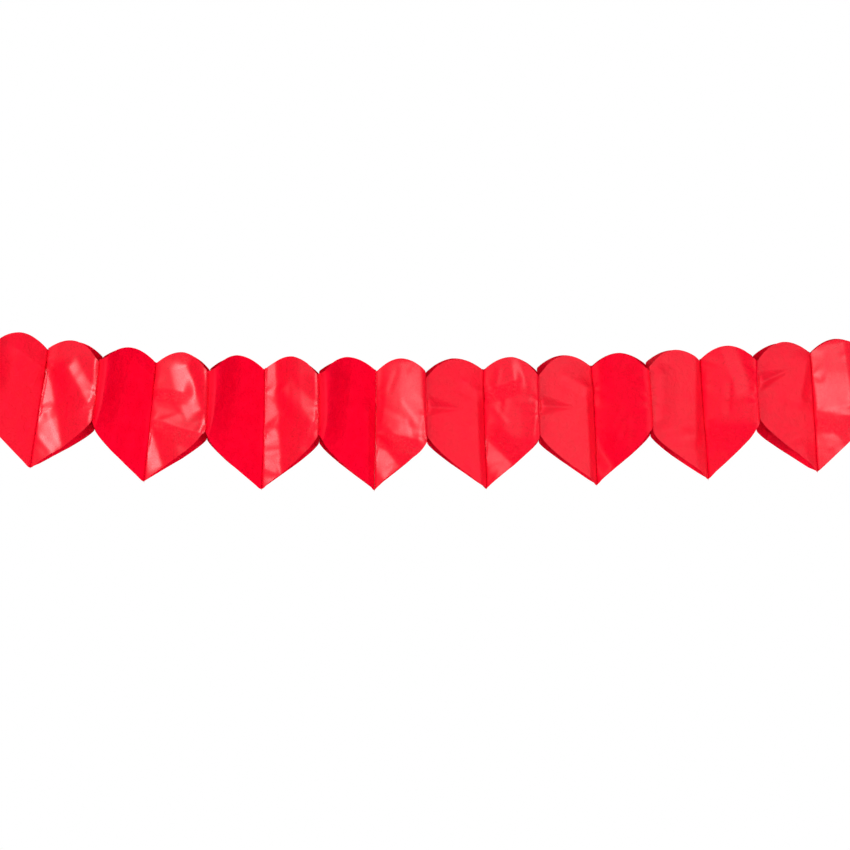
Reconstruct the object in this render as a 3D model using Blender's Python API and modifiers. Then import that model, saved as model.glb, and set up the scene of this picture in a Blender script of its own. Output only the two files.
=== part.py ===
"""Hanging garland of die-cut tissue-paper hearts.

Every sheet is one heart cut from thin paper. Two sheets, glued to each other down the middle, make a
heart with four wings. Each heart is glued to the next along the outer edges of its wings, in front and
behind, so that the stack pulls out like a concertina. Metres, +Z up, +X along the garland and +Y away
from the viewer. The origin is on the bare face of the first heart's glue line, where the left end is held.
"""

import math
import random
from collections import namedtuple

import bmesh
import bpy
from mathutils import Vector

MM = 0.001

# The die-cut heart, laid flat
HEART_HEIGHT = 158.5 * MM
HEART_WIDTH = 162 * MM
LOBE_TOP = 38.5 * MM
NOTCH_DEPTH = 17.7 * MM
NOTCH_FLOOR = 4.2 * MM
SHOULDER_DROP = 21.2 * MM
LOBE_ROUNDNESS = 1.95
SIDE_FOOT = 68.3 * MM
CORNER_RISE = 11.6 * MM
CORNER_SHARPNESS = 12

# Paper and glue
PAPER = 0.08 * MM
GLUE_GAP = 0.3 * MM
CENTRE_GLUE = 3 * MM
FRONT_EDGE_GLUE = 3 * MM
BACK_EDGE_GLUE = 7 * MM

# How far the stack is pulled open
FRONT_ANGLE = math.radians(62.46)
TURN_LENGTH = 3 * MM

# The line in which it hangs: two arcs that meet at the low point
PULL_HEIGHT = 96.6 * MM
LOW_POINT = 352 * MM
LEFT_RADIUS = 2.35
RIGHT_RADIUS = 7.3

# Uneven pull: how far the middle of each heart, and each edge between hearts, lies past its even place
CENTRE_SHIFTS = [shift * MM for shift in (0, 0.8, 3.4, 5.2, 4.0, 3.0, 2.5, 2.2)]
EDGE_SHIFTS = [shift * MM for shift in (0, 0, 1.4, 3.0, 0.8, 2.9, 4.0, 1.4, 2.0)]

# Cockles that the pull leaves in each wing
COCKLE_HEIGHT = 1.1 * MM
COCKLE_LENGTH = 95 * MM
COCKLE_SEED = 14

# Fineness of the mesh
TURN_STEP = 1.5 * MM
FLAT_STEP = 8 * MM
ROWS = 5
PLAN_STEPS = 200
HALVINGS = 40

HEARTS = len(CENTRE_SHIFTS)
HALF_WIDTH = HEART_WIDTH / 2
HALF_CENTRE_GLUE = CENTRE_GLUE / 2
JOINT_OFFSET = (GLUE_GAP + PAPER) / 2

RED = (0.86, 0.004, 0.022, 1.0)
PAPER_ROUGHNESS = 0.42

# A wing is the free paper between two glue lines: how long it is, and its angle to the line of sight
Wing = namedtuple("Wing", "length angle")


def clear_scene():
    for obj in list(bpy.data.objects):
        bpy.data.objects.remove(obj, do_unlink=True)


def tissue_paper():
    material = bpy.data.materials.new("red_tissue_paper")
    material.use_nodes = True
    shader = material.node_tree.nodes["Principled BSDF"]
    shader.inputs["Base Color"].default_value = RED
    shader.inputs["Roughness"].default_value = PAPER_ROUGHNESS
    shader.inputs["Metallic"].default_value = 0.0
    return material


def smooth_step(share):
    share = min(max(share, 0.0), 1.0)
    return share * share * (3 - 2 * share)


def lower_edge(across):
    """Height of the heart's lower edge above its tip, this far across from the middle of the die."""
    reach = across / HALF_WIDTH
    return (SIDE_FOOT - CORNER_RISE) * reach + CORNER_RISE * reach**CORNER_SHARPNESS


def upper_edge(across):
    """Height of the lobe's edge: it falls to a narrow floor at the notch, and to the side's upper corner."""
    if across < LOBE_TOP:
        reach = (LOBE_TOP - max(across, NOTCH_FLOOR)) / LOBE_TOP
        return HEART_HEIGHT - NOTCH_DEPTH * reach**LOBE_ROUNDNESS
    reach = (across - LOBE_TOP) / (HALF_WIDTH - LOBE_TOP)
    return HEART_HEIGHT - SHOULDER_DROP * reach**LOBE_ROUNDNESS


def turn_angle(wing, travel):
    """Angle between the paper and the line of sight, after this length of wing. It is nothing at the glue."""
    from_glue = min(travel, wing.length - travel)
    return wing.angle * smooth_step(from_glue / TURN_LENGTH)


def plan_point(wing, travel):
    """Distance along the garland, and in depth, that this length of wing reaches as seen from above."""
    step = travel / PLAN_STEPS
    angles = [turn_angle(wing, (i + 0.5) * step) for i in range(PLAN_STEPS)]
    return step * sum(map(math.sin, angles)), step * sum(map(math.cos, angles))


def wing_of_span(length, span):
    """Wing of this length, turned so far that it reaches this span along the garland."""
    low, high = 0.0, math.pi / 2
    for _ in range(HALVINGS):
        middle = (low + high) / 2
        if plan_point(Wing(length, middle), length)[0] < span:
            low = middle
        else:
            high = middle
    return Wing(length, high)


FRONT_WING = Wing(HALF_WIDTH - HALF_CENTRE_GLUE - FRONT_EDGE_GLUE, FRONT_ANGLE)
WING_SPAN = plan_point(FRONT_WING, FRONT_WING.length)[0]
BACK_WING = wing_of_span(HALF_WIDTH - HALF_CENTRE_GLUE - BACK_EDGE_GLUE, WING_SPAN)
HALF_PITCH = WING_SPAN + 2 * JOINT_OFFSET
FIRST_HEART = JOINT_OFFSET + PAPER / 2


def wing_at(place):
    """The wing on which a place on the sheet lies. Places are counted from the middle, front positive."""
    return FRONT_WING if place > 0 else BACK_WING


def sheet_plan(place):
    """Distance along the garland, and in depth, of a place on the sheet."""
    wing = wing_at(place)
    free = abs(place) - HALF_CENTRE_GLUE
    travel = min(max(free, 0.0), wing.length)
    along, depth = plan_point(wing, travel)
    glued = min(abs(place), HALF_CENTRE_GLUE) + max(free - wing.length, 0.0)
    return along, math.copysign(depth + glued, place)


def half_stations(wing):
    """Places from the middle to the side of the sheet that carry a column, close together in the turns."""
    wing_end = HALF_CENTRE_GLUE + wing.length
    marks = [0.0, HALF_CENTRE_GLUE, HALF_CENTRE_GLUE + TURN_LENGTH, wing_end - TURN_LENGTH, wing_end, HALF_WIDTH]
    steps = [CENTRE_GLUE, TURN_STEP, FLAT_STEP, TURN_STEP, FLAT_STEP]
    places = []
    for start, end, step in zip(marks, marks[1:], steps):
        count = max(round((end - start) / step), 1)
        places += [start + (end - start) * (i + 1) / count for i in range(count)]
    return places


def stations():
    """Places across the sheet that carry a column of the mesh, back to front."""
    back = [-place for place in reversed(half_stations(BACK_WING))]
    return back + [0.0] + half_stations(FRONT_WING)


def pull_line(along, above):
    """Point of the hanging curve, in X and Z, this far along it and above it."""
    run = along - LOW_POINT
    radius = LEFT_RADIUS if run < 0 else RIGHT_RADIUS
    angle = run / radius
    return Vector(((radius - above) * math.sin(angle), 0, radius - (radius - above) * math.cos(angle)))


HELD_POINT = pull_line(0, 0)


def joints(heart, side):
    """Distances along the line of pull of a sheet's centre glue line and of its edge glue lines."""
    even = FIRST_HEART + 2 * HALF_PITCH * heart
    return even + CENTRE_SHIFTS[heart], even + side * HALF_PITCH + EDGE_SHIFTS[heart + (side > 0)]


def cockle(place, height, phases):
    """Shallow wave that stands off the wing, nothing at the glue lines."""
    share = (abs(place) - HALF_CENTRE_GLUE) / wing_at(place).length
    if not 0 < share < 1:
        return 0.0
    window = math.sin(math.pi * share) ** 2
    phase = phases[0] if place > 0 else phases[1]
    return COCKLE_HEIGHT * window * math.sin(2 * math.pi * height / COCKLE_LENGTH + share + phase)


def sheet_point(heart, side, place, share, phases):
    """World point of a sheet: side is -1 for a heart's left sheet, share runs from lower to upper edge."""
    low, high = lower_edge(abs(place)), upper_edge(abs(place))
    height = low + share * (high - low)
    along, depth = sheet_plan(place)
    middle, edge = joints(heart, side)
    stretch = (abs(edge - middle) - 2 * JOINT_OFFSET) / WING_SPAN
    wave = cockle(place, height, phases)
    hung = pull_line(middle + side * (JOINT_OFFSET + along * stretch + wave), height - PULL_HEIGHT)
    return hung - HELD_POINT - Vector((0, depth, 0))


def heart_sheet(heart, side, material, collection):
    """One die-cut sheet: a grid laid out on the cut outline, bent to its wings, with the paper's thickness."""
    name = f"heart_{heart + 1}_{'left' if side < 0 else 'right'}_sheet"
    places = stations()
    columns = len(places) - 1
    chance = random.Random(COCKLE_SEED + 2 * heart + (side > 0))
    phases = [chance.uniform(0, 2 * math.pi) for _ in range(2)]
    shape = bmesh.new()
    bmesh.ops.create_grid(shape, x_segments=columns, y_segments=ROWS, size=0.5)
    for vert in shape.verts:
        place = places[round((vert.co.x + 0.5) * columns)]
        share = round((vert.co.y + 0.5) * ROWS) / ROWS
        vert.co = sheet_point(heart, side, place, share, phases)
    mesh = bpy.data.meshes.new(name)
    shape.to_mesh(mesh)
    shape.free()
    mesh.materials.append(material)
    mesh.shade_smooth()
    sheet = bpy.data.objects.new(name, mesh)
    collection.objects.link(sheet)
    thickness = sheet.modifiers.new("paper_thickness", "SOLIDIFY")
    thickness.thickness = PAPER
    thickness.offset = 0
    thickness.use_even_offset = True
    return sheet


def main():
    clear_scene()
    garland = bpy.data.collections.new("paper_heart_garland")
    bpy.context.scene.collection.children.link(garland)
    material = tissue_paper()
    for heart in range(HEARTS):
        for side in (-1, 1):
            heart_sheet(heart, side, material, garland)


main()
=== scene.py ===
"""Looks of the hanging paper-heart garland: creased sheets of red tissue paper in a white studio."""

import math
import random
from collections import namedtuple

import bpy
import numpy as np
from bpy.props import FloatProperty, FloatVectorProperty, IntProperty, PointerProperty
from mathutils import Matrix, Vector


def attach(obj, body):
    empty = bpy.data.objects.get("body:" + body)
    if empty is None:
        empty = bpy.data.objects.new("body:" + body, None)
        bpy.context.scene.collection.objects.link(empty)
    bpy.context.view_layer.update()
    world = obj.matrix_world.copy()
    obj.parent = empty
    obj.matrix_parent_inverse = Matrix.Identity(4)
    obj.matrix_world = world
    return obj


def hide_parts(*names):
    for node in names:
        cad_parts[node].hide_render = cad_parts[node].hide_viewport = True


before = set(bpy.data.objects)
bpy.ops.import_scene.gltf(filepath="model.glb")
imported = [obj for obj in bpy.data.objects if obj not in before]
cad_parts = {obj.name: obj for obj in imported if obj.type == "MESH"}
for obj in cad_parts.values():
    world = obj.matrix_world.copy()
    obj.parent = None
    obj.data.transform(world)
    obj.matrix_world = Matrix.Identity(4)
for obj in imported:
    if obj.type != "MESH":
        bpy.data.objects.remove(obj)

bl_info = {
    "name": "Paper Heart Garland",
    "version": (1, 0, 0),
    "blender": (4, 5, 0),
    "location": "3D View > Sidebar > Garland",
    "description": "Makes the creased tissue-paper sheets of a hanging heart garland and its studio",
    "category": "Object",
}

MM = 0.001
BODY = "root"
SIDES = ("left", "right")
HEARTS = len(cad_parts) // len(SIDES)

# A fold runs from start to end on a wing. Both are (distance out from the centre glue line, height above the
# heart's tip), in millimetres. lift is how far its ridge stands towards whoever looks at the wing, left and
# right are the widths of its two flanks, as seen when looking along it, ridge is the radius of its ridge, and
# taper is the share of its lift and width that it loses on the way to its end.
Fold = namedtuple("Fold", "start end lift left right ridge taper", defaults=(0.9, 0))

# The folds of the front wings, by heart and side
FRONT_FOLDS = {
    (1, "left"): (
        Fold((0, 116), (50, 142), 6.0, 34, 26, 1),
        Fold((71, 152), (72, 88), 7.5, 6, 24, 4),
    ),
    (1, "right"): (
        Fold((4, 124), (41, 26), -4.2, 30, 30, 2),
        Fold((30, 130), (68, 84), 2.6, 15, 26, 3),
        Fold((0, 128), (76, 132), 1.4, 34, 30, 5),
        Fold((0, 64), (19, 78), -1.3, 8, 12, 2),
        Fold((3, 41), (26, 24), 0.7, 6, 7),
        Fold((70, 142), (69, 62), 0.9, 6, 26),
    ),
    (2, "left"): (
        Fold((67, 158), (79, 66), 14.0, 12, 31, 6),
        Fold((0, 124), (45, 152), 4.0, 26, 22, 1),
        Fold((0, 70), (76, 74), -2.5, 50, 60),
    ),
    (2, "right"): (
        Fold((42, 150), (70, 88), -3.0, 17, 22, 3),
        Fold((0, 116), (50, 112), 3.4, 36, 16, 2),
        Fold((0, 78), (76, 63), 3.4, 16, 22),
        Fold((3, 66), (25, 18), -2.6, 24, 20, 2),
        Fold((70, 142), (70, 62), 0.8, 6, 26),
    ),
    (3, "left"): (
        Fold((65, 160), (79, 66), 14.0, 14, 31, 6),
        Fold((0, 66), (76, 72), -2.5, 50, 60),
        Fold((0, 72), (24, 56), 1.2, 10, 14, 2),
    ),
    (3, "right"): (
        Fold((14, 160), (25, 10), -3.6, 34, 22, 2),
        Fold((22, 124), (70, 78), 2.2, 18, 20, 3),
        Fold((0, 66), (18, 76), -1.2, 9, 12, 2),
        Fold((0, 27), (22, 20), 1.2, 10, 9),
        Fold((71, 142), (70, 62), 0.9, 5, 26),
    ),
    (4, "left"): (
        Fold((66, 156), (75, 66), 14.0, 14, 30, 6),
        Fold((15, 104), (12, -20), 5.0, 46, 13, 1.5),
    ),
    (4, "right"): (
        Fold((0, 72), (76, 62), 5.0, 84, 20, 2),
        Fold((2, 66), (38, 26), -3.2, 22, 26, 2),
        Fold((66, 165), (74, 62), -4.4, 9, 58, 3),
        Fold((10, 160), (11, 70), -0.8, 26, 10, 3),
    ),
    (5, "left"): (
        Fold((13, 116), (12, -20), 5.0, 46, 13, 1),
        Fold((0, 111), (28, 131), 2.8, 22, 12, 1),
        Fold((80, 100), (34, 97), 7.0, 13, 20, 1, 0.9),
    ),
    (5, "right"): (
        Fold((0, 118), (50, 132), 2.6, 30, 18, 2),
        Fold((0, 68), (72, 58), 1.2, 44, 20, 3),
        Fold((2, 64), (40, 26), -3.0, 24, 26, 2),
        Fold((71, 104), (70, 58), 0.7, 5, 20),
    ),
    (6, "left"): (
        Fold((14, 120), (13, -20), 5.0, 46, 13, 1),
        Fold((0, 112), (42, 134), 3.4, 24, 12, 1),
        Fold((80, 98), (32, 95), 7.5, 13, 18, 1, 0.9),
    ),
    (6, "right"): (
        Fold((0, 54), (25, 17), -3.8, 30, 17, 2),
        Fold((70, 180), (70, 20), 3.0, 7, 62, 3),
        Fold((10, 160), (9, 98), -1.0, 20, 9, 2),
    ),
    (7, "left"): (
        Fold((9, 165), (20, 46), 4.5, 46, 15, 2),
        Fold((25, 60), (11, -16), 4.0, 40, 18, 2),
        Fold((58, 136), (66, 70), 3.5, 14, 24, 4),
    ),
    (7, "right"): (
        Fold((0, 70), (76, 64), 2.4, 84, 34, 4),
        Fold((44, 170), (66, 104), -1.2, 12, 14, 6),
    ),
    (8, "left"): (
        Fold((80, 110), (34, 124), 7.0, 13, 18, 1, 0.9),
        Fold((7, 140), (24, 84), 4.0, 40, 15, 1.5),
        Fold((22, 86), (4, 82), 1.4, 12, 8),
        Fold((24, 38), (4, -14), 3.5, 34, 18, 2),
    ),
    (8, "right"): (
        Fold((0, 73), (80, 71), 2.8, 46, 26, 2),
        Fold((44, 160), (50, 72), -3.0, 30, 46, 2),
        Fold((0, 114), (16, 112), 0.4, 10, 6, 2),
        Fold((20, 52), (40, 26), -1.0, 14, 14, 2),
    ),
}

# Uneven pull: how far each heart's centre line, and each edge between hearts, lies past its even place at the
# foot, middle and head of the glue line, in millimetres
CENTRE_LINES = (
    (0, 0.2, 0.2), (0.2, 1.0, 1.4), (4.2, 4.0, 2.6), (3.6, 5.6, 6.2),
    (4.4, 3.4, 4.0), (3.2, 3.4, 2.2), (3.2, 2.4, 1.4), (1.0, 2.6, 2.6),
)
EDGE_LINES = (
    (0, 0, 0), (-1.8, 1.2, 0.0), (0.5, 2.6, 0.5), (2.2, 3.8, 2.6), (2.9, 0, 0),
    (3.0, 2.4, 3.4), (2.3, 5.3, 3.7), (2.6, 0, 1.9), (2, 2, 2),
)

# Heights above the tip of that foot and head, in millimetres
BOW_FOOT = 20
BOW_HEAD = 140

# How far a wing's cut edges lie above the die's, in millimetres. Front wing, lower edge: tip beside the
# centre line, inner and low further out, foot at its corner. Front wing, upper edge: notch, lobe and
# shoulder. Wing behind: its lower edge and its shoulder.
Trim = namedtuple("Trim", "tip inner low foot notch lobe shoulder back back_shoulder")
TRIMS = {
    (1, "left"): Trim(-2.0, -1.2, -0.3, 2.0, -0.8, 0.8, 0.4, 0.0, 0),
    (1, "right"): Trim(-1.8, 0.5, 3.9, 8.0, 2.0, 0.2, -3.5, -1.4, 0),
    (2, "left"): Trim(-1.8, -0.9, 1.6, 3.6, 0.2, 0.5, -0.5, 0.0, 0),
    (2, "right"): Trim(0.5, 2.0, 4.4, 7.3, 0.0, 0.7, -2.7, 0.3, -3.5),
    (3, "left"): Trim(-2.0, -1.0, 1.2, 4.2, 0.7, 1.3, -2.0, 0.3, -2),
    (3, "right"): Trim(-1.2, 1.6, 3.2, 7.6, 2.0, 2.4, -2.5, 0.3, -3),
    (4, "left"): Trim(-2.0, 0.4, 2.2, 5.8, 1.3, 2.2, -0.5, 0.4, 0),
    (4, "right"): Trim(0.2, 3.6, 2.4, -1.5, -0.3, 0.2, -0.3, 2.0, 0),
    (5, "left"): Trim(-2.5, -1.5, 1.0, 6.0, -1.0, -1.8, -6.5, -0.5, -2.5),
    (5, "right"): Trim(0.0, 1.8, 0.9, 0.8, -0.8, -0.9, -6.5, 1.0, -4),
    (6, "left"): Trim(-2.5, 0.3, 0.9, 4.5, -0.8, -1.4, -7.0, -1.0, 0),
    (6, "right"): Trim(-0.5, 2.0, 2.0, 6.0, -1.5, -0.8, -5.5, 1.0, -2),
    (7, "left"): Trim(-2.2, 1.8, 2.4, 2.0, -0.8, -0.6, -3.0, -0.6, 0.8),
    (7, "right"): Trim(-0.7, 0.6, 1.8, 3.8, 1.0, 0.6, -2.5, 0.6, 1.0),
    (8, "left"): Trim(-3.0, 2.2, 5.8, 10.0, 0.8, 0.4, -3.0, -2.4, 0.7),
    (8, "right"): Trim(-0.9, -0.6, 2.2, 4.5, -1.0, -1.8, -2.0, 0.6, 0),
}

# Distances out from the centre line, in millimetres, at which those trims count
LOW_KNOTS = (0, 4, 12, 45, 72)
TOP_KNOTS = (5, 40, 60, 72)
BACK_KNOTS = (1, 12, 45, 72)

# Share of a back wing's trim that its lower edge has at its knots, and how far it rises there besides
BACK_SPREAD = (0, 1, 1, 1)
BACK_RISE = (0, 0, 0.7, 3.2)

# Share of its glaze that a sheet has kept, where that is not all of it
GLAZE = {
    (3, "right"): 0.7,
    (4, "right"): 0.65,
    (5, "right"): 0.4,
    (6, "right"): 0.08,
    (7, "right"): 0.17,
    (8, "right"): 0.66,
}

# How strong a dull haze lies on a sheet's matte side, where it has one
HAZE = {
    (1, "left"): 0.27,
    (5, "left"): 0.5,
    (6, "left"): 0.74,
    (7, "left"): 0.66,
    (8, "left"): 0.62,
}

# Share of the glaze and haze that the wings behind have
BEHIND = 0.05

# Where the spots of glue hold the sheets, in millimetres above the tip
CENTRE_SPOTS = (70, 116)
EDGE_SPOTS = (90, 103)

# Pleats that run out from a spot of glue, in millimetres: a full set, and a lower one with fewer pleats,
# whose share of the lift stands last
SPOT_LIFT = 0.12
SPOT_REACH = 6
SPOT_PLEATS = 5
FEWER_PLEATS = 3
LOWER_PLEATS = 0.6

# Random crumples of every wing, in millimetres. Each pair is a least and a greatest value, and a crumple
# starts between these heights above the tip.
CRUMPLES = 12
CRUMPLE_START = (20, 150)
CRUMPLE_LENGTH = (14, 42)
CRUMPLE_LIFT = (0.12, 0.32)
CRUMPLE_WIDTH = (4, 10)

# Random folds of a back wing, in millimetres. They start in the inner third of the wing, between these
# heights above the tip, and drop or rise this far on their way to its edge.
BACK_FOLDS = 4
BACK_START_PARTS = 3
BACK_START = (50, 140)
BACK_RUN = (-45, 25)
BACK_LIFT = (0.8, 2.2)
BACK_WIDTH = (14, 28)

# A fold fades over this length at its ends, or over this much for each millimetre of its lift, and its flanks
# run out the more softly the higher the softness is
FOLD_FADE = 12
FADE_PER_LIFT = 5
FOOT_SOFTNESS = 0.45

# Paper beside the centre line and beside the edge over which the relief dies down, in millimetres
CALM_AT_CENTRE = 4
CALM_AT_EDGE = 4

# A bend counts as a full crease from this percentile of the sheet's bends on
FULL_CREASE = 99.5

# Fineness of the wings' plan
PLAN_STEPS = 2000
HALVINGS = 40

# Edges of the mesh that turn by less than this are smooth
SMOOTH_ANGLE = math.radians(60)

# Formation of the paper: which part of the noise runs from full dye to thin, and how much glaze a thin place
# and a full crease lack
CLOUD_RANGE = (0.35, 0.68)
GLAZE_LOST_IN_CLOUD = 0.25
GLAZE_LOST_IN_CREASE = 0.4

# The studio: the floor's side, grey and roughness, and the directions in depth, from the camera's side to the
# far one, over which the reflected surround runs from black to white
WHITE = (1, 1, 1, 1)
FLOOR_SIZE = 6
FLOOR_GREY = (0.85, 0.85, 0.85, 1)
FLOOR_ROUGHNESS = 0.8
REFLECTED_SWEEP = (-0.35, 0.1)

# A lamp's azimuth, counted to the right of the camera, and elevation are in degrees, its sides in metres
Lamp = namedtuple("Lamp", "azimuth elevation width height")
LAMPS = {
    "front": Lamp(13, -6, 1.6, 0.8),
    "side": Lamp(-40, 15, 0.7, 1.5),
    "fill": Lamp(60, 10, 1.8, 1.8),
    "back": Lamp(195, 25, 1.8, 1.8),
}
LAMP_DISTANCE = 3.2


class GarlandSheetSettings(bpy.types.PropertyGroup):
    """Size of the die-cut heart, its glue lines and how far the stack is pulled open"""

    heart_height: FloatProperty(
        name="Heart height", description="From the tip to the tops of the lobes", default=158.5 * MM,
        unit="LENGTH",
    )
    heart_width: FloatProperty(
        name="Heart width", description="Across the flat sheet", default=162 * MM, unit="LENGTH"
    )
    lobe_top: FloatProperty(
        name="Lobe top", description="From the middle to the top of a lobe", default=38.5 * MM, unit="LENGTH"
    )
    notch_depth: FloatProperty(
        name="Notch depth", description="From the tops of the lobes to the notch", default=17.7 * MM,
        unit="LENGTH",
    )
    notch_floor: FloatProperty(
        name="Notch floor", description="Half the width of the notch's floor", default=4.2 * MM, unit="LENGTH"
    )
    shoulder_drop: FloatProperty(
        name="Shoulder drop", description="From the top of a lobe to the sheet's side", default=21.2 * MM,
        unit="LENGTH",
    )
    lobe_roundness: FloatProperty(
        name="Lobe roundness", description="How long the lobe stays near its top height", default=1.95, min=1
    )
    side_foot: FloatProperty(
        name="Side foot", description="Height of the side's lower corner", default=68.3 * MM, unit="LENGTH"
    )
    corner_rise: FloatProperty(
        name="Corner rise", description="Part of that height gained near the corner", default=11.6 * MM,
        unit="LENGTH",
    )
    corner_sharpness: FloatProperty(
        name="Corner sharpness", description="How late the lower edge turns up", default=12, min=1
    )
    paper: FloatProperty(
        name="Paper", description="Thickness of the tissue paper", default=0.08 * MM, precision=5,
        unit="LENGTH",
    )
    spacing: FloatProperty(
        name="Spacing", description="Distance of a sheet from a glued joint in the solids", default=0.19 * MM,
        precision=5, unit="LENGTH",
    )
    contact: FloatProperty(
        name="Contact", description="The same in these sheets, which nearly touch", default=0.06 * MM,
        precision=5, unit="LENGTH",
    )
    centre_glue: FloatProperty(
        name="Centre glue", description="Width of the glued strip down the middle", default=3 * MM,
        unit="LENGTH",
    )
    front_edge_glue: FloatProperty(
        name="Front edge glue", description="Width of the glued strips in front", default=3 * MM,
        unit="LENGTH",
    )
    back_edge_glue: FloatProperty(
        name="Back edge glue", description="Width of the glued strips behind", default=7 * MM, unit="LENGTH"
    )
    wing_angle: FloatProperty(
        name="Wing angle", description="From the depth axis to a front wing", default=math.radians(62.46),
        subtype="ANGLE",
    )
    turn_length: FloatProperty(
        name="Turn length", description="Paper that bends beside a glue line", default=3 * MM, unit="LENGTH"
    )
    pull_height: FloatProperty(
        name="Pull height", description="Height above the tip of the line of pull", default=96.6 * MM,
        unit="LENGTH",
    )
    low_point: FloatProperty(
        name="Low point", description="Distance along the line of pull to its lowest point",
        default=352 * MM, unit="LENGTH",
    )
    left_radius: FloatProperty(
        name="Left radius", description="Radius of the line of pull left of its low point", default=2.35,
        unit="LENGTH",
    )
    right_radius: FloatProperty(
        name="Right radius", description="Radius of the line of pull right of its low point", default=7.3,
        unit="LENGTH",
    )
    cell: FloatProperty(
        name="Cell", description="Width of a face of the sheet's mesh", default=1.5 * MM, precision=5,
        unit="LENGTH",
    )
    rows: IntProperty(
        name="Rows", description="Faces of the sheet's mesh from its lower to its upper edge", default=104,
        min=8,
    )
    seed: IntProperty(name="Seed", description="Start of the random creases", default=5)


class GarlandPaperSettings(bpy.types.PropertyGroup):
    """Colour and finish of the tissue paper, which is glazed on one side"""

    red: FloatVectorProperty(
        name="Red", description="Dye of the paper", subtype="COLOR", size=4, min=0, max=1,
        default=(0.86, 0.0, 0.019, 1),
    )
    thin_red: FloatVectorProperty(
        name="Thin red", description="The paper where its fibres lie thinner", subtype="COLOR", size=4, min=0,
        max=1, default=(0.92, 0.001, 0.024, 1),
    )
    worn_red: FloatVectorProperty(
        name="Worn red", description="The paper along its creases", subtype="COLOR", size=4, min=0, max=1,
        default=(1.0, 0.02, 0.045, 1),
    )
    roughness: FloatProperty(
        name="Roughness", description="Of the paper under its glaze", default=0.6, min=0, max=1,
        subtype="FACTOR",
    )
    sheen: FloatProperty(
        name="Sheen", description="Mirror reflection of the paper under its glaze", default=0.01, min=0,
        max=1, subtype="FACTOR",
    )
    glazed_roughness: FloatProperty(
        name="Glazed roughness", description="Of the side that ran against the drier", default=0.31, min=0,
        max=1, subtype="FACTOR",
    )
    haze_roughness: FloatProperty(
        name="Haze roughness", description="Of the dull haze on the other side", default=0.52, min=0, max=1,
        subtype="FACTOR",
    )
    glazed_wrinkle: FloatProperty(
        name="Glazed wrinkle", description="Height of the small wrinkles on the glazed side",
        default=2.4 * MM, precision=5, unit="LENGTH",
    )
    matte_wrinkle: FloatProperty(
        name="Matte wrinkle", description="Height of the small wrinkles on the other side",
        default=1.3 * MM, precision=5, unit="LENGTH",
    )
    cloud_size: FloatProperty(
        name="Clouds", description="How fine the thin and thick places of the paper are", default=70
    )
    wrinkle_size: FloatProperty(
        name="Wrinkles", description="How fine the small wrinkles are", default=160
    )
    fibre_size: FloatProperty(name="Fibres", description="How fine the nap of the fibres is", default=550)
    fibre_share: FloatProperty(
        name="Fibre share", description="Height of the nap, as a share of the wrinkles' height", default=0.2,
        min=0, max=1, subtype="FACTOR",
    )
    wear: FloatProperty(
        name="Wear", description="How worn the paper is in a full crease", default=0.5, min=0, max=1,
        subtype="FACTOR",
    )


class GarlandStageSettings(bpy.types.PropertyGroup):
    """Camera, lamps and floor"""

    frame_width: FloatProperty(
        name="Frame width", description="Width of the picture at the garland", default=1.0169, unit="LENGTH"
    )
    frame_middle: FloatVectorProperty(
        name="Frame middle", description="Point of the garland's middle plane at the middle of the picture",
        default=(0.4581, 0, -0.0432), subtype="XYZ", unit="LENGTH",
    )
    camera_place: FloatVectorProperty(
        name="Camera place", description="Where the camera stands, a little below the garland",
        default=(0.427, -5.8, -0.1), subtype="XYZ", unit="LENGTH",
    )
    floor_height: FloatProperty(
        name="Floor height", description="Height of the floor below the garland", default=-0.8, unit="LENGTH"
    )
    front_power: FloatProperty(
        name="Front lamp", description="Power of the lamp beside the camera", default=42, unit="POWER"
    )
    side_power: FloatProperty(
        name="Side lamp", description="Power of the lamp on the left, which gives the gloss", default=52,
        unit="POWER",
    )
    fill_power: FloatProperty(
        name="Fill lamp", description="Power of the lamp on the right", default=23, unit="POWER"
    )
    back_power: FloatProperty(
        name="Back lamp", description="Power of the lamp behind the garland", default=42, unit="POWER"
    )
    surround: FloatProperty(
        name="Surround", description="Strength of the light from all round", default=0.13, min=0
    )
    sensor_width: FloatProperty(
        name="Sensor width", description="Width of the camera's sensor, in millimetres", default=36, min=1
    )
    clip_end: FloatProperty(
        name="Clip end", description="Where the camera's view ends", default=100, unit="LENGTH"
    )


def smooth_step(share):
    share = np.clip(share, 0.0, 1.0)
    return share * share * (3 - 2 * share)


def deselect_all():
    bpy.ops.object.select_all(action="DESELECT")


def lower_edge(die, across):
    """Height of the heart's lower edge above its tip, this far across from the middle of the die."""
    reach = across / (die.heart_width / 2)
    return (die.side_foot - die.corner_rise) * reach + die.corner_rise * reach**die.corner_sharpness


def upper_edge(die, across):
    """Height of the lobe's edge: it falls to a narrow floor at the notch, and to the side's upper corner."""
    inward = np.clip((die.lobe_top - np.maximum(across, die.notch_floor)) / die.lobe_top, 0, 1)
    outward = np.clip((across - die.lobe_top) / (die.heart_width / 2 - die.lobe_top), 0, 1)
    notch_side = die.notch_depth * inward**die.lobe_roundness
    shoulder = die.shoulder_drop * outward**die.lobe_roundness
    return die.heart_height - notch_side - shoulder


def wing_length(die, edge_glue):
    """Paper between the centre glue line and an edge glue line."""
    return die.heart_width / 2 - die.centre_glue / 2 - edge_glue


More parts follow.
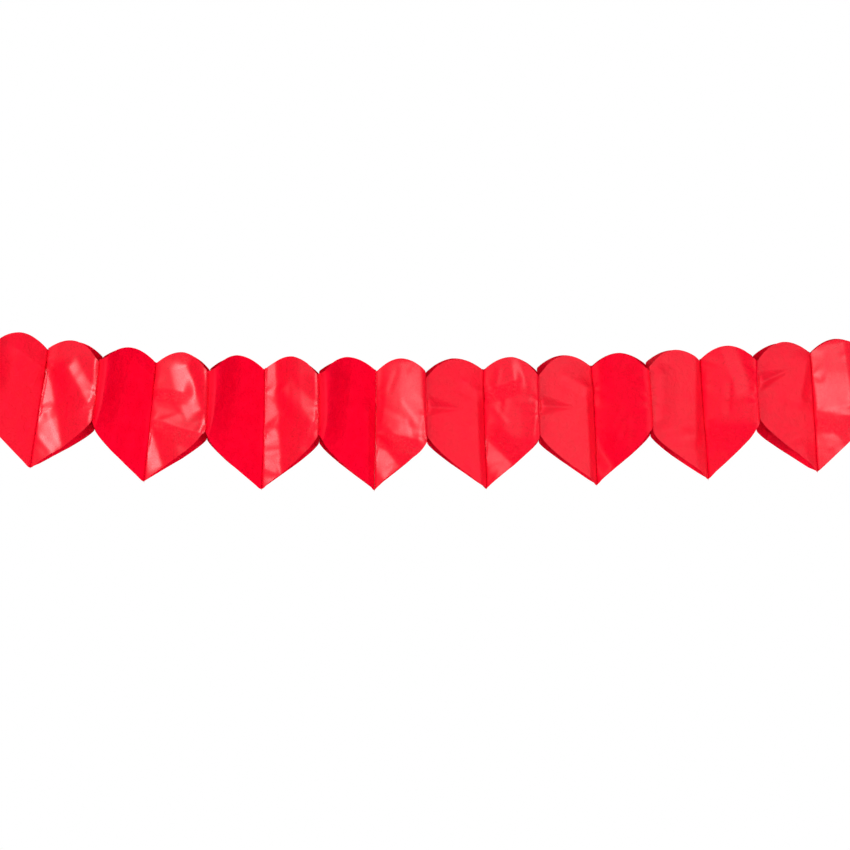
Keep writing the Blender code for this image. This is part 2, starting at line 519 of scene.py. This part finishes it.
def wing_plan(die, length, angle):
    """A bent wing seen from above, as a table: paper used, distance along, depth and turned angle."""
    used = np.linspace(0.0, length, PLAN_STEPS + 1)
    turned = angle * smooth_step(np.minimum(used, length - used) / die.turn_length)
    middle = (turned[1:] + turned[:-1]) / 2
    along = np.concatenate([[0.0], np.cumsum(np.sin(middle))]) * length / PLAN_STEPS
    depth = np.concatenate([[0.0], np.cumsum(np.cos(middle))]) * length / PLAN_STEPS
    return used, along, depth, turned


def both_plans(die):
    """Plans of the front wing, and of the back wing, which is turned until it spans as far."""
    front = wing_plan(die, wing_length(die, die.front_edge_glue), die.wing_angle)
    length = wing_length(die, die.back_edge_glue)
    low, high = 0.0, math.pi / 2
    for _ in range(HALVINGS):
        middle = (low + high) / 2
        if wing_plan(die, length, middle)[1][-1] < front[1][-1]:
            low = middle
        else:
            high = middle
    return front, wing_plan(die, length, high)


def sheet_places(die):
    """Places across the sheet that carry a column, back to front, counted from its middle."""
    half_glue = die.centre_glue / 2
    half_width = die.heart_width / 2
    marks = [-half_width, die.back_edge_glue - half_width, -half_glue, 0.0, half_glue,
             half_width - die.front_edge_glue, half_width]
    places = [marks[0]]
    for start, end in zip(marks, marks[1:]):
        count = max(round((end - start) / die.cell), 1)
        places += [start + (end - start) * (i + 1) / count for i in range(count)]
    return np.array(places)


def fold_relief(fold, out, up):
    """Height that one fold gives the wing, in millimetres, at each point of the wing."""
    start, end = Vector(fold.start), Vector(fold.end)
    length = (end - start).length
    ahead = (end - start) / length
    along = (out - start.x) * ahead.x + (up - start.y) * ahead.y
    aside = (up - start.y) * ahead.x - (out - start.x) * ahead.y
    kept = 1 - fold.taper * np.clip(along / length, 0, 1)
    width = np.where(aside > 0, fold.left, fold.right) * kept
    ridge = np.sqrt(aside**2 + fold.ridge**2) - fold.ridge
    flank = np.clip(1 - ridge / width, 0.0, 1.0)
    flank = flank**2 * (1 + FOOT_SOFTNESS) / (flank + FOOT_SOFTNESS)
    fade = min(max(FOLD_FADE, FADE_PER_LIFT * abs(fold.lift)), length / 2)
    ends = smooth_step((along + fade / 2) / fade) * smooth_step((length + fade / 2 - along) / fade)
    return fold.lift * kept * flank * ends


def spot_relief(spot_out, spot_up, out, up, chance):
    """Little pleats that run out from a spot of glue."""
    away = np.hypot(out - spot_out, up - spot_up)
    round_spot = np.arctan2(up - spot_up, out - spot_out)
    pleats = np.sin(SPOT_PLEATS * round_spot + chance.uniform(0, math.tau))
    pleats += LOWER_PLEATS * np.sin(FEWER_PLEATS * round_spot + chance.uniform(0, math.tau))
    return SPOT_LIFT * away / SPOT_REACH * np.exp(1 - away / SPOT_REACH) * pleats


def crumple(chance, reach):
    """A short low fold at a random place on a wing that reaches this far out."""
    turn = chance.uniform(0, math.tau)
    length = chance.uniform(*CRUMPLE_LENGTH)
    start = (chance.uniform(0, reach), chance.uniform(*CRUMPLE_START))
    end = (start[0] + length * math.cos(turn), start[1] + length * math.sin(turn))
    lift = chance.choice((-1, 1)) * chance.uniform(*CRUMPLE_LIFT)
    return Fold(start, end, lift, chance.uniform(*CRUMPLE_WIDTH), chance.uniform(*CRUMPLE_WIDTH))


def wing_relief(folds, out, up, reach, chance):
    """Height of all the folds, pleats and crumples of a wing, in millimetres. It is nothing at the glue."""
    crumples = [crumple(chance, reach) for _ in range(CRUMPLES)]
    relief = sum(fold_relief(fold, out, up) for fold in (*folds, *crumples))
    for spot_out, spots in ((0, CENTRE_SPOTS), (reach, EDGE_SPOTS)):
        for spot_up in spots:
            relief = relief + spot_relief(spot_out, spot_up, out, up, chance)
    calm = smooth_step(out / CALM_AT_CENTRE) * smooth_step((reach - out) / CALM_AT_EDGE)
    return relief * calm


def back_folds(chance, reach):
    """Folds of a back wing: ones that run from the glued middle outwards."""
    folds = []
    for _ in range(BACK_FOLDS):
        start = (chance.uniform(0, reach / BACK_START_PARTS), chance.uniform(*BACK_START))
        end = (reach, start[1] + chance.uniform(*BACK_RUN))
        lift = chance.choice((-1, 1)) * chance.uniform(*BACK_LIFT)
        folds.append(Fold(start, end, lift, chance.uniform(*BACK_WIDTH), chance.uniform(*BACK_WIDTH)))
    return folds


def pull_line(die, along, above):
    """Points of the hanging curve, in X and Z, this far along it and above it."""
    run = along - die.low_point
    radius = np.where(run < 0, die.left_radius, die.right_radius)
    angle = run / radius
    return (radius - above) * np.sin(angle), radius - (radius - above) * np.cos(angle)


def bowed(line, up):
    """How far a glue line lies from its even place at each height: it bows between three points."""
    bottom, middle, top = line
    share = np.clip((up - BOW_FOOT) / (BOW_HEAD - BOW_FOOT), 0, 1)
    bow = middle - (bottom + top) / 2
    return bottom + (top - bottom) * share + 4 * bow * share * (1 - share)


def trimmed(trim, out, in_front):
    """How far a wing's lower and upper edges lie above the die's, this far out from the centre line."""
    between = (2 * trim.lobe + trim.shoulder) / 3
    front_low = np.interp(out, LOW_KNOTS, (0, trim.tip, trim.inner, trim.low, trim.foot))
    front_top = np.interp(out, TOP_KNOTS, (trim.notch, trim.lobe, between, trim.shoulder))
    back_low = trim.back * np.interp(out, BACK_KNOTS, BACK_SPREAD) + np.interp(out, BACK_KNOTS, BACK_RISE)
    back_top = np.interp(out, TOP_KNOTS, (0, 0, trim.back_shoulder / 2, trim.back_shoulder))
    return np.where(in_front, front_low, back_low), np.where(in_front, front_top, back_top)


def creased_sheet(die, places, number, side):
    """Points of one sheet, and how sharply it bends at each, both by row and column."""
    direction = -1 if side == "left" else 1
    chance = random.Random(die.seed + 2 * number + direction)
    place, share = np.meshgrid(places, np.linspace(0, 1, die.rows + 1))
    across, in_front = np.abs(place), place > 0
    front_plan, back_plan = both_plans(die)
    front_reach, back_reach = front_plan[0][-1], back_plan[0][-1]
    reach = np.where(in_front, front_reach, back_reach)
    free = across - die.centre_glue / 2
    travel = np.clip(free, 0.0, reach)
    glued = np.minimum(across, die.centre_glue / 2) + np.maximum(free - reach, 0.0)
    low_trim, top_trim = trimmed(TRIMS[number, side], travel / MM, in_front)
    low, high = lower_edge(die, across) + low_trim * MM, upper_edge(die, across) + top_trim * MM
    height = low + share * (high - low)
    along, depth, angle = (
        np.where(in_front, np.interp(travel, front_plan[0], front), np.interp(travel, back_plan[0], back))
        for front, back in zip(front_plan[1:], back_plan[1:])
    )
    out, up = travel / MM, height / MM
    front = wing_relief(FRONT_FOLDS[number, side], out, up, front_reach / MM, chance)
    back = wing_relief(back_folds(chance, back_reach / MM), out, up, back_reach / MM, chance)
    relief = np.where(in_front, front, back)
    depth = np.copysign(depth + glued + np.sin(angle) * relief * MM, place)
    span = front_plan[1][-1]
    even = die.spacing + die.paper / 2 + 2 * (span + 2 * die.spacing) * (number - 1)
    middle = even + MM * bowed(CENTRE_LINES[number - 1], up)
    edge = even + direction * (span + 2 * die.spacing) + MM * bowed(EDGE_LINES[number - (side == "left")], up)
    stretch = (np.abs(edge - middle) - 2 * die.contact) / span
    run = np.clip(along * stretch - np.cos(angle) * relief * MM, 0, span * stretch) + die.contact
    x, z = pull_line(die, middle + direction * run, height - die.pull_height)
    held_x, held_z = pull_line(die, np.array(0.0), np.array(0.0))
    bend = np.abs(np.gradient(np.gradient(relief, axis=0), axis=0))
    bend += np.abs(np.gradient(np.gradient(relief, axis=1), axis=1))
    return np.stack([x - held_x, -depth, z - held_z], axis=-1), bend


def input_value(node, name, value):
    node.inputs[name].default_value = value


def new_group(name, inputs, outputs):
    """An empty shader node group with these sockets, and its two end nodes."""
    group = bpy.data.node_groups.new(name, "ShaderNodeTree")
    for socket, kind in inputs:
        group.interface.new_socket(socket, in_out="INPUT", socket_type=kind)
    for socket, kind in outputs:
        group.interface.new_socket(socket, in_out="OUTPUT", socket_type=kind)
    return group, group.nodes.new("NodeGroupInput"), group.nodes.new("NodeGroupOutput")


def add_noise(group, start, scale_socket, looks):
    """A noise texture in a node group, as fine as the group's socket of this name says."""
    noise = group.nodes.new("ShaderNodeTexNoise")
    for name, value in looks.items():
        input_value(noise, name, value)
    group.links.new(start.outputs["Vector"], noise.inputs["Vector"])
    group.links.new(start.outputs[scale_socket], noise.inputs["Scale"])
    return noise


def add_math(group, operation, clamped=False):
    node = group.nodes.new("ShaderNodeMath")
    node.operation = operation
    node.use_clamp = clamped
    return node


def mix_colours(group, factor, first, second, result):
    """Mixes two colours in a node group by this factor into a socket. All four are sockets."""
    mix = group.nodes.new("ShaderNodeMix")
    mix.data_type = "RGBA"
    group.links.new(factor, mix.inputs["Factor"])
    group.links.new(first, mix.inputs["A"])
    group.links.new(second, mix.inputs["B"])
    group.links.new(mix.outputs["Result"], result)


def tissue_fibres():
    """Node group: the cloudy formation of thin paper, its small wrinkles and the fine nap of its fibres."""
    found = bpy.data.node_groups.get("tissue_fibres")
    if found:
        return found
    inputs = [("Vector", "NodeSocketVector"), ("Dye", "NodeSocketColor"), ("Thin", "NodeSocketColor"),
              ("Cloud Size", "NodeSocketFloat"), ("Wrinkle Size", "NodeSocketFloat"),
              ("Fibre Size", "NodeSocketFloat"), ("Fibre Share", "NodeSocketFloat")]
    outputs = [("Color", "NodeSocketColor"), ("Cloud", "NodeSocketFloat"), ("Height", "NodeSocketFloat")]
    group, start, end = new_group("tissue_fibres", inputs, outputs)
    links = group.links
    clouds = add_noise(group, start, "Cloud Size", {"Detail": 4.0, "Roughness": 0.6})
    fibres = add_noise(group, start, "Fibre Size", {"Detail": 3.0, "Distortion": 1.2})
    wrinkles = add_noise(group, start, "Wrinkle Size", {"Detail": 2.0, "Distortion": 0.6})
    spread = group.nodes.new("ShaderNodeMapRange")
    input_value(spread, "From Min", CLOUD_RANGE[0])
    input_value(spread, "From Max", CLOUD_RANGE[1])
    links.new(clouds.outputs["Fac"], spread.inputs["Value"])
    links.new(spread.outputs["Result"], end.inputs["Cloud"])
    thin_places = spread.outputs["Result"]
    mix_colours(group, thin_places, start.outputs["Dye"], start.outputs["Thin"], end.inputs["Color"])
    height = add_math(group, "MULTIPLY_ADD")
    links.new(fibres.outputs["Fac"], height.inputs[0])
    links.new(start.outputs["Fibre Share"], height.inputs[1])
    links.new(wrinkles.outputs["Fac"], height.inputs[2])
    links.new(height.outputs["Value"], end.inputs["Height"])
    return group


def crease_wear():
    """Node group: paler dye and less glaze where the paper has been creased."""
    found = bpy.data.node_groups.get("crease_wear")
    if found:
        return found
    inputs = [("Color", "NodeSocketColor"), ("Worn", "NodeSocketColor"), ("Crease", "NodeSocketFloat"),
              ("Amount", "NodeSocketFloat"), ("Glaze", "NodeSocketFloat"), ("Cloud", "NodeSocketFloat")]
    outputs = [("Color", "NodeSocketColor"), ("Glaze", "NodeSocketFloat")]
    group, start, end = new_group("crease_wear", inputs, outputs)
    links = group.links
    amount = add_math(group, "MULTIPLY", clamped=True)
    links.new(start.outputs["Crease"], amount.inputs[0])
    links.new(start.outputs["Amount"], amount.inputs[1])
    worn = amount.outputs["Value"]
    mix_colours(group, worn, start.outputs["Color"], start.outputs["Worn"], end.inputs["Color"])
    kept = add_math(group, "MULTIPLY_ADD")
    links.new(worn, kept.inputs[0])
    kept.inputs[1].default_value = -GLAZE_LOST_IN_CREASE
    kept.inputs[2].default_value = 1.0
    patchy = add_math(group, "MULTIPLY_ADD")
    links.new(start.outputs["Cloud"], patchy.inputs[0])
    patchy.inputs[1].default_value = -GLAZE_LOST_IN_CLOUD
    links.new(kept.outputs["Value"], patchy.inputs[2])
    glaze = add_math(group, "MULTIPLY", clamped=True)
    links.new(patchy.outputs["Value"], glaze.inputs[0])
    links.new(start.outputs["Glaze"], glaze.inputs[1])
    links.new(glaze.outputs["Value"], end.inputs["Glaze"])
    return group


def place_group(material, group, values):
    """Puts a node group in a material, with these values on its inputs."""
    node = material.node_tree.nodes.new("ShaderNodeGroup")
    node.node_tree = group
    for name, value in values.items():
        input_value(node, name, value)
    return node


def tissue_paper(name, paper, glaze_attribute, glaze_roughness, wrinkle_height):
    """Dyed tissue paper, whose glaze or haze is a thin coat as strong as the attribute says."""
    material = bpy.data.materials.new(name)
    material.use_nodes = True
    nodes, links = material.node_tree.nodes, material.node_tree.links
    shader = nodes["Principled BSDF"]
    where = nodes.new("ShaderNodeTexCoord")
    crease = nodes.new("ShaderNodeAttribute")
    crease.attribute_name = "crease"
    glaze = nodes.new("ShaderNodeAttribute")
    glaze.attribute_name = glaze_attribute
    fibres = place_group(material, tissue_fibres(), {
        "Dye": paper.red,
        "Thin": paper.thin_red,
        "Cloud Size": paper.cloud_size,
        "Wrinkle Size": paper.wrinkle_size,
        "Fibre Size": paper.fibre_size,
        "Fibre Share": paper.fibre_share,
    })
    wear = place_group(material, crease_wear(), {"Worn": paper.worn_red, "Amount": paper.wear})
    bump = nodes.new("ShaderNodeBump")
    input_value(bump, "Distance", wrinkle_height)
    input_value(shader, "Roughness", paper.roughness)
    input_value(shader, "Specular IOR Level", paper.sheen)
    input_value(shader, "Coat Roughness", glaze_roughness)
    links.new(where.outputs["Object"], fibres.inputs["Vector"])
    links.new(fibres.outputs["Color"], wear.inputs["Color"])
    links.new(fibres.outputs["Cloud"], wear.inputs["Cloud"])
    links.new(crease.outputs["Fac"], wear.inputs["Crease"])
    links.new(glaze.outputs["Fac"], wear.inputs["Glaze"])
    links.new(wear.outputs["Color"], shader.inputs["Base Color"])
    links.new(wear.outputs["Glaze"], shader.inputs["Coat Weight"])
    links.new(fibres.outputs["Height"], bump.inputs["Height"])
    links.new(bump.outputs["Normal"], shader.inputs["Normal"])
    return material


def both_sides(paper):
    """The materials of a sheet's glazed and matte sides, made once."""
    glazed = bpy.data.materials.get("glazed_tissue")
    matte = bpy.data.materials.get("matte_tissue")
    if not glazed:
        glazed = tissue_paper("glazed_tissue", paper, "glaze", paper.glazed_roughness, paper.glazed_wrinkle)
        matte = tissue_paper("matte_tissue", paper, "haze", paper.haze_roughness, paper.matte_wrinkle)
    return glazed, matte


def give_attribute(mesh, name, values):
    """A number at every point of the mesh, for a material to read."""
    mesh.attributes.new(name, "FLOAT", "POINT").data.foreach_set("value", values)


def make_sheet(context, number, side):
    """One creased sheet: a grid bent to its wings and folds, given the paper's thickness."""
    die = context.scene.garland_sheet
    places = sheet_places(die)
    columns, rows = len(places) - 1, die.rows
    deselect_all()
    bpy.ops.mesh.primitive_grid_add(x_subdivisions=columns, y_subdivisions=rows, size=1)
    sheet = context.object
    sheet.name = f"tissue_heart_{number}_{side}"
    mesh = sheet.data
    flat = np.empty(len(mesh.vertices) * 3)
    mesh.vertices.foreach_get("co", flat)
    flat = flat.reshape(-1, 3)
    column = np.rint((flat[:, 0] + 0.5) * columns).astype(int)
    row = np.rint((flat[:, 1] + 0.5) * rows).astype(int)
    points, bend = creased_sheet(die, places, number, side)
    mesh.vertices.foreach_set("co", points[row, column].ravel())
    give_attribute(mesh, "crease", np.clip(bend[row, column] / np.percentile(bend, FULL_CREASE), 0, 1))
    shown = np.where(places[column] > 0, 1, BEHIND)
    give_attribute(mesh, "glaze", shown * GLAZE.get((number, side), 1.0))
    give_attribute(mesh, "haze", shown * HAZE.get((number, side), 0.0))
    for material in both_sides(context.scene.garland_paper):
        mesh.materials.append(material)
    mesh.update()
    bpy.ops.object.modifier_add(type="SOLIDIFY")
    thickness = sheet.modifiers[-1]
    thickness.thickness = die.paper
    thickness.offset = 0
    thickness.use_even_offset = True
    thickness.material_offset = 1
    thickness.material_offset_rim = 1
    bpy.ops.object.modifier_apply(modifier=thickness.name)
    bpy.ops.object.shade_smooth_by_angle(angle=SMOOTH_ANGLE)
    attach(sheet, BODY)
    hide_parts(f"heart_{number}_{side}_sheet")
    return sheet


def mix_light(world, factor, first, second):
    """The output of a shader that mixes two others by this factor. All three are sockets."""
    links = world.node_tree.links
    mix = world.node_tree.nodes.new("ShaderNodeMixShader")
    links.new(factor, mix.inputs["Fac"])
    links.new(first, mix.inputs[1])
    links.new(second, mix.inputs[2])
    return mix.outputs["Shader"]


def reflected_sweep(world):
    """Light of a sweep that is black on the camera's side and white behind the garland."""
    nodes, links = world.node_tree.nodes, world.node_tree.links
    where = nodes.new("ShaderNodeTexCoord")
    split = nodes.new("ShaderNodeSeparateXYZ")
    behind = nodes.new("ShaderNodeMapRange")
    sweep = nodes.new("ShaderNodeBackground")
    input_value(behind, "From Min", REFLECTED_SWEEP[0])
    input_value(behind, "From Max", REFLECTED_SWEEP[1])
    links.new(where.outputs["Generated"], split.inputs["Vector"])
    links.new(split.outputs["Y"], behind.inputs["Value"])
    links.new(behind.outputs["Result"], sweep.inputs["Strength"])
    return sweep.outputs["Background"]


def white_world(surround):
    """A world that is white to the camera, a sweep to gloss, and gives a weaker light of its own."""
    world = bpy.data.worlds.new("white_studio")
    world.use_nodes = True
    nodes = world.node_tree.nodes
    light = nodes["Background"]
    input_value(light, "Color", WHITE)
    input_value(light, "Strength", surround)
    shown = nodes.new("ShaderNodeBackground")
    input_value(shown, "Color", WHITE)
    path = nodes.new("ShaderNodeLightPath")
    seen = mix_light(
        world, path.outputs["Is Camera Ray"], light.outputs["Background"], shown.outputs["Background"]
    )
    surface = mix_light(world, path.outputs["Is Glossy Ray"], seen, reflected_sweep(world))
    world.node_tree.links.new(surface, nodes["World Output"].inputs["Surface"])
    return world


def white_floor(height, middle):
    """A pale floor that is white to the camera and keeps a trace of the shadow."""
    deselect_all()
    bpy.ops.mesh.primitive_plane_add(size=FLOOR_SIZE, location=(middle[0], 0, height))
    floor = bpy.context.object
    floor.name = "studio_floor"
    bpy.ops.object.transform_apply(location=True, rotation=False, scale=False)
    material = bpy.data.materials.new("white_floor")
    material.use_nodes = True
    nodes, links = material.node_tree.nodes, material.node_tree.links
    shader = nodes["Principled BSDF"]
    input_value(shader, "Base Color", FLOOR_GREY)
    input_value(shader, "Roughness", FLOOR_ROUGHNESS)
    input_value(shader, "Emission Color", WHITE)
    path = nodes.new("ShaderNodeLightPath")
    links.new(path.outputs["Is Camera Ray"], shader.inputs["Emission Strength"])
    floor.data.materials.append(material)
    return floor


def round_the_garland(middle, distance, azimuth, elevation):
    """A place this far from the middle, at an azimuth counted to the right of the camera, in degrees."""
    turn, rise = math.radians(azimuth), math.radians(elevation)
    flat = distance * math.cos(rise)
    away = Vector((flat * math.sin(turn), -flat * math.cos(turn), distance * math.sin(rise)))
    return Vector(middle) + away


def softbox(name, lamp, middle, power):
    """A flat lamp that hangs at its place round the garland and points at its middle."""
    place = round_the_garland(middle, LAMP_DISTANCE, lamp.azimuth, lamp.elevation)
    bpy.ops.object.light_add(type="AREA", location=place)
    light = bpy.context.object
    light.name = name
    light.data.shape = "RECTANGLE"
    light.data.size = lamp.width
    light.data.size_y = lamp.height
    light.data.energy = power
    light.visible_camera = False
    light.rotation_euler = (Vector(middle) - Vector(place)).to_track_quat("-Z", "Y").to_euler()
    return light


class GARLAND_OT_heart(bpy.types.Operator):
    """Make the two creased sheets of one heart"""

    bl_idname = "garland.heart"
    bl_label = "Heart"
    bl_options = {"REGISTER", "UNDO"}

    number: IntProperty(
        name="Number", description="Which heart, counted from the left end", default=1, min=1, max=HEARTS
    )

    def execute(self, context):
        for side in SIDES:
            make_sheet(context, self.number, side)
        return {"FINISHED"}


class GARLAND_OT_stage(bpy.types.Operator):
    """Make the floor, the white world, the lamps and the camera"""

    bl_idname = "garland.stage"
    bl_label = "Stage"
    bl_options = {"REGISTER", "UNDO"}

    def execute(self, context):
        stage = context.scene.garland_stage
        middle = Vector(stage.frame_middle)
        context.scene.world = white_world(stage.surround)
        white_floor(stage.floor_height, middle)
        for name, lamp in LAMPS.items():
            softbox(f"{name}_lamp", lamp, middle, getattr(stage, f"{name}_power"))
        bpy.ops.object.camera_add(location=stage.camera_place)
        camera = context.object
        camera.name = "photo_camera"
        ahead = middle - Vector(stage.camera_place)
        camera.rotation_euler = ahead.to_track_quat("-Z", "Y").to_euler()
        camera.data.sensor_width = stage.sensor_width
        camera.data.lens = camera.data.sensor_width * ahead.length / stage.frame_width
        camera.data.clip_end = stage.clip_end
        context.scene.camera = camera
        context.scene.view_settings.view_transform = "Standard"
        return {"FINISHED"}


class GARLAND_PT_panel(bpy.types.Panel):
    """The garland's pieces and its stage"""

    bl_idname = "GARLAND_PT_panel"
    bl_label = "Paper Heart Garland"
    bl_space_type = "VIEW_3D"
    bl_region_type = "UI"
    bl_category = "Garland"

    def draw(self, context):
        layout = self.layout
        for number in range(1, HEARTS + 1):
            layout.operator(GARLAND_OT_heart.bl_idname, text=f"Heart {number}").number = number
        layout.operator(GARLAND_OT_stage.bl_idname)


CLASSES = (
    GarlandSheetSettings,
    GarlandPaperSettings,
    GarlandStageSettings,
    GARLAND_OT_heart,
    GARLAND_OT_stage,
    GARLAND_PT_panel,
)


def register():
    for cls in CLASSES:
        bpy.utils.register_class(cls)
    bpy.types.Scene.garland_sheet = PointerProperty(type=GarlandSheetSettings)
    bpy.types.Scene.garland_paper = PointerProperty(type=GarlandPaperSettings)
    bpy.types.Scene.garland_stage = PointerProperty(type=GarlandStageSettings)


def unregister():
    del bpy.types.Scene.garland_stage
    del bpy.types.Scene.garland_paper
    del bpy.types.Scene.garland_sheet
    for cls in reversed(CLASSES):
        bpy.utils.unregister_class(cls)


def main():
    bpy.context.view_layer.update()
    register()
    bpy.ops.garland.stage()
    for number in range(1, HEARTS + 1):
        bpy.ops.garland.heart(number=number)


if __name__ == "__main__":
    main()
